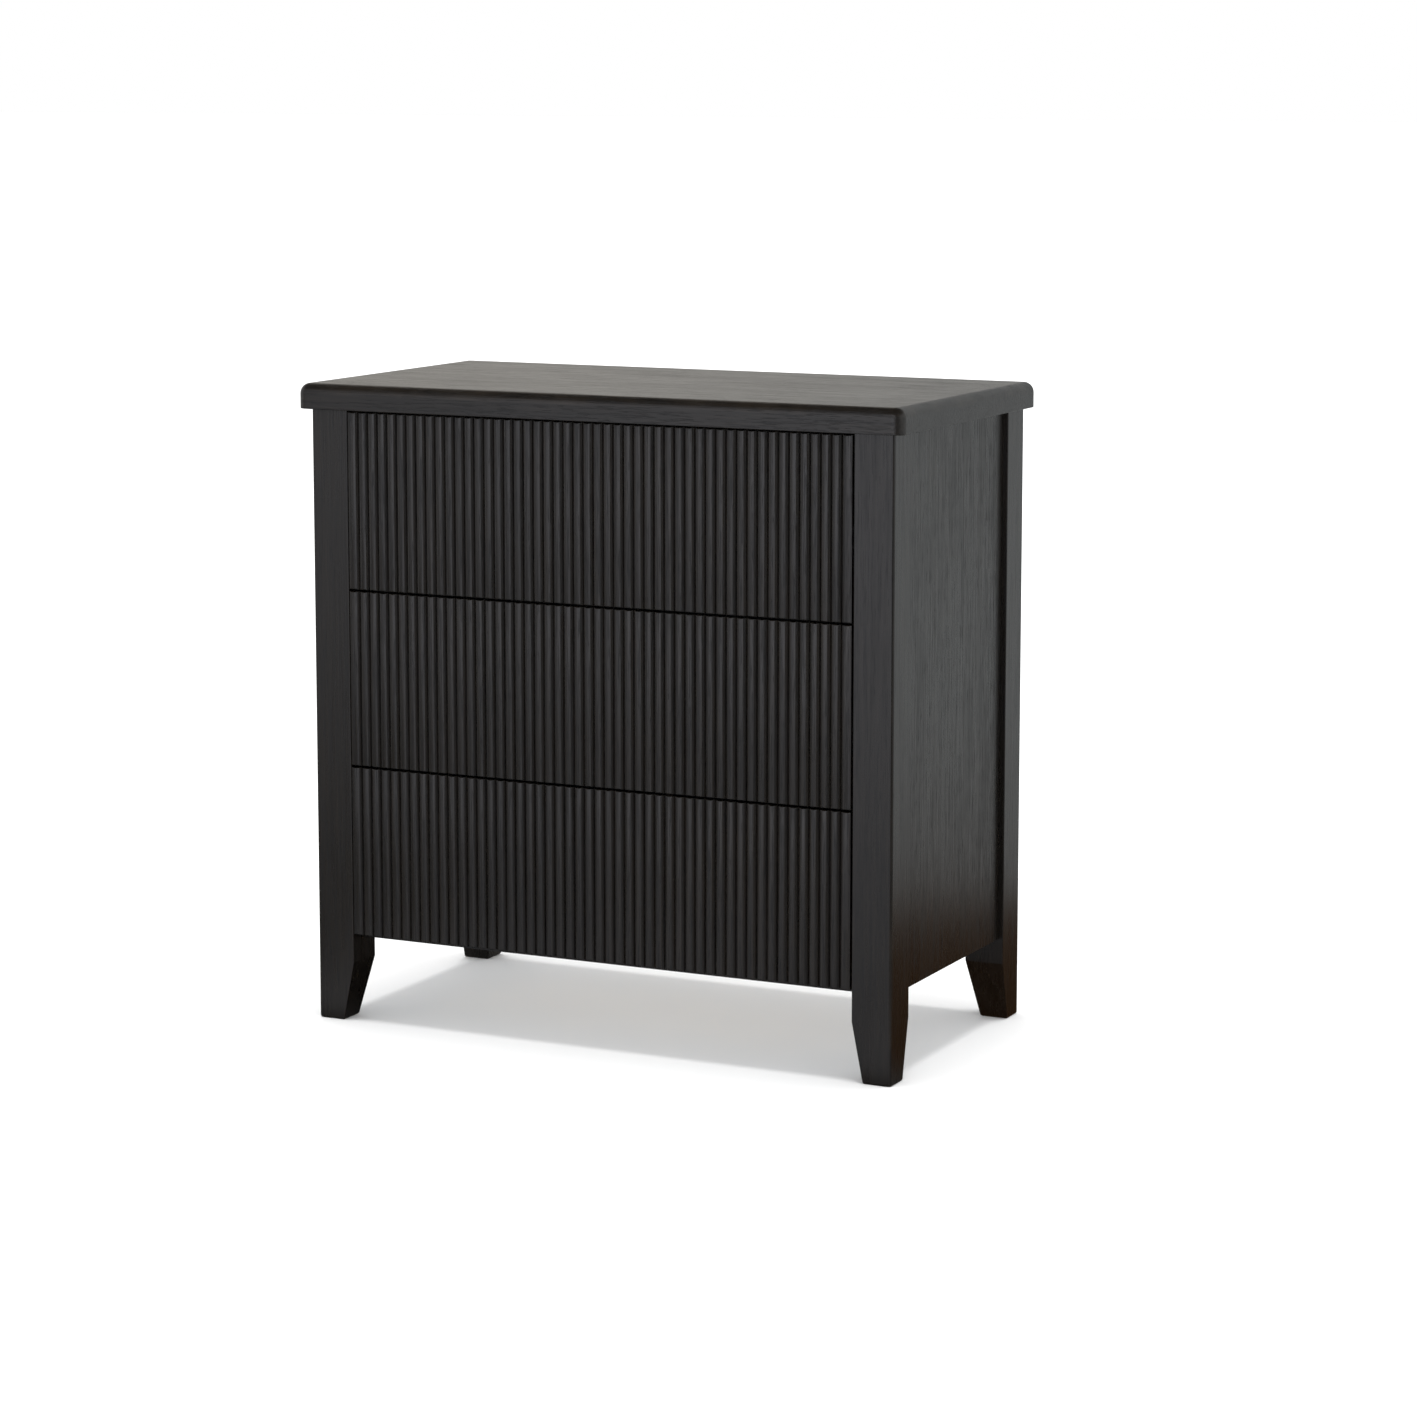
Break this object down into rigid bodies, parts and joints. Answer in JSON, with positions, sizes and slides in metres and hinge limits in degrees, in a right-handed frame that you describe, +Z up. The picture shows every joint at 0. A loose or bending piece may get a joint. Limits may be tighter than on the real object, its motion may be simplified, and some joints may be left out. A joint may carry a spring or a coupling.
{
  "type": "nightstand with drawers",
  "caption": "Bedside chest with reeded push-to-open drawers on ball-bearing slides, corner posts ending in tapered feet, and a top with a rounded edge.",
  "frame": {"origin": "on the floor, at the middle of the bounding box", "axes": "+X to the right as seen from the front, +Y to the back, so the drawers open towards -Y, +Z up"},
  "size_m": [0.72, 0.377, 0.711],
  "materials": {
    "stained_wood": "charcoal-black stain under satin lacquer, grain just visible",
    "drawer_wood": "pale hardwood, clear satin lacquer",
    "drawer_ply": "birch plywood, clear satin lacquer",
    "zinc_steel": "bright zinc-plated rolled steel"
  },
  "bodies": {
    "case": {"top_panel": "stained_wood", "post_front_left": "stained_wood", "post_front_right": "stained_wood", "post_rear_left": "stained_wood", "post_rear_right": "stained_wood", "side_panel_left": "stained_wood", "side_panel_right": "stained_wood", "top_cleat_left": "stained_wood", "top_cleat_right": "stained_wood", "back_panel": "stained_wood", "front_rail_top": "stained_wood", "front_rail_divider_upper": "stained_wood", "front_rail_divider_lower": "stained_wood", "front_rail_bottom": "stained_wood", "rear_rail_upper": "stained_wood", "rear_rail_lower": "stained_wood", "slide_packer_1_left": "stained_wood", "slide_1_case_member_left": "zinc_steel", "slide_packer_1_right": "stained_wood", "slide_1_case_member_right": "zinc_steel", "slide_packer_2_left": "stained_wood", "slide_2_case_member_left": "zinc_steel", "slide_packer_2_right": "stained_wood", "slide_2_case_member_right": "zinc_steel", "slide_packer_3_left": "stained_wood", "slide_3_case_member_left": "zinc_steel", "slide_packer_3_right": "stained_wood", "slide_3_case_member_right": "zinc_steel"},
    "drawer_1": {"drawer_1_front": "stained_wood", "drawer_1_inner_front": "drawer_wood", "drawer_1_back": "drawer_wood", "drawer_1_bottom": "drawer_ply", "drawer_1_side_left": "drawer_wood", "drawer_1_side_right": "drawer_wood", "slide_1_drawer_member_left": "zinc_steel", "slide_1_drawer_member_right": "zinc_steel"},
    "drawer_1_runners": {"slide_1_middle_member_left": "zinc_steel", "slide_1_middle_member_right": "zinc_steel"},
    "drawer_2": {"drawer_2_front": "stained_wood", "drawer_2_inner_front": "drawer_wood", "drawer_2_back": "drawer_wood", "drawer_2_bottom": "drawer_ply", "drawer_2_side_left": "drawer_wood", "drawer_2_side_right": "drawer_wood", "slide_2_drawer_member_left": "zinc_steel", "slide_2_drawer_member_right": "zinc_steel"},
    "drawer_2_runners": {"slide_2_middle_member_left": "zinc_steel", "slide_2_middle_member_right": "zinc_steel"},
    "drawer_3": {"drawer_3_front": "stained_wood", "drawer_3_inner_front": "drawer_wood", "drawer_3_back": "drawer_wood", "drawer_3_bottom": "drawer_ply", "drawer_3_side_left": "drawer_wood", "drawer_3_side_right": "drawer_wood", "slide_3_drawer_member_left": "zinc_steel", "slide_3_drawer_member_right": "zinc_steel"},
    "drawer_3_runners": {"slide_3_middle_member_left": "zinc_steel", "slide_3_middle_member_right": "zinc_steel"}
  },
  "joints": [
    {"name": "drawer_1_slide", "type": "slide", "parent": "case", "child": "drawer_1", "axis": [0, -1, 0], "range_m": [-0.003, 0.3]},
    {"name": "drawer_1_runners_slide", "type": "slide", "parent": "case", "child": "drawer_1_runners", "axis": [0, -1, 0], "range_m": [-0.0015, 0.15]},
    {"name": "drawer_2_slide", "type": "slide", "parent": "case", "child": "drawer_2", "axis": [0, -1, 0], "range_m": [-0.003, 0.3]},
    {"name": "drawer_2_runners_slide", "type": "slide", "parent": "case", "child": "drawer_2_runners", "axis": [0, -1, 0], "range_m": [-0.0015, 0.15]},
    {"name": "drawer_3_slide", "type": "slide", "parent": "case", "child": "drawer_3", "axis": [0, -1, 0], "range_m": [-0.003, 0.3]},
    {"name": "drawer_3_runners_slide", "type": "slide", "parent": "case", "child": "drawer_3_runners", "axis": [0, -1, 0], "range_m": [-0.0015, 0.15]}
  ],
  "couplings": [
    {"joint": "drawer_1_runners_slide", "follows": "drawer_1_slide", "ratio": 0.5},
    {"joint": "drawer_2_runners_slide", "follows": "drawer_2_slide", "ratio": 0.5},
    {"joint": "drawer_3_runners_slide", "follows": "drawer_3_slide", "ratio": 0.5}
  ]
}
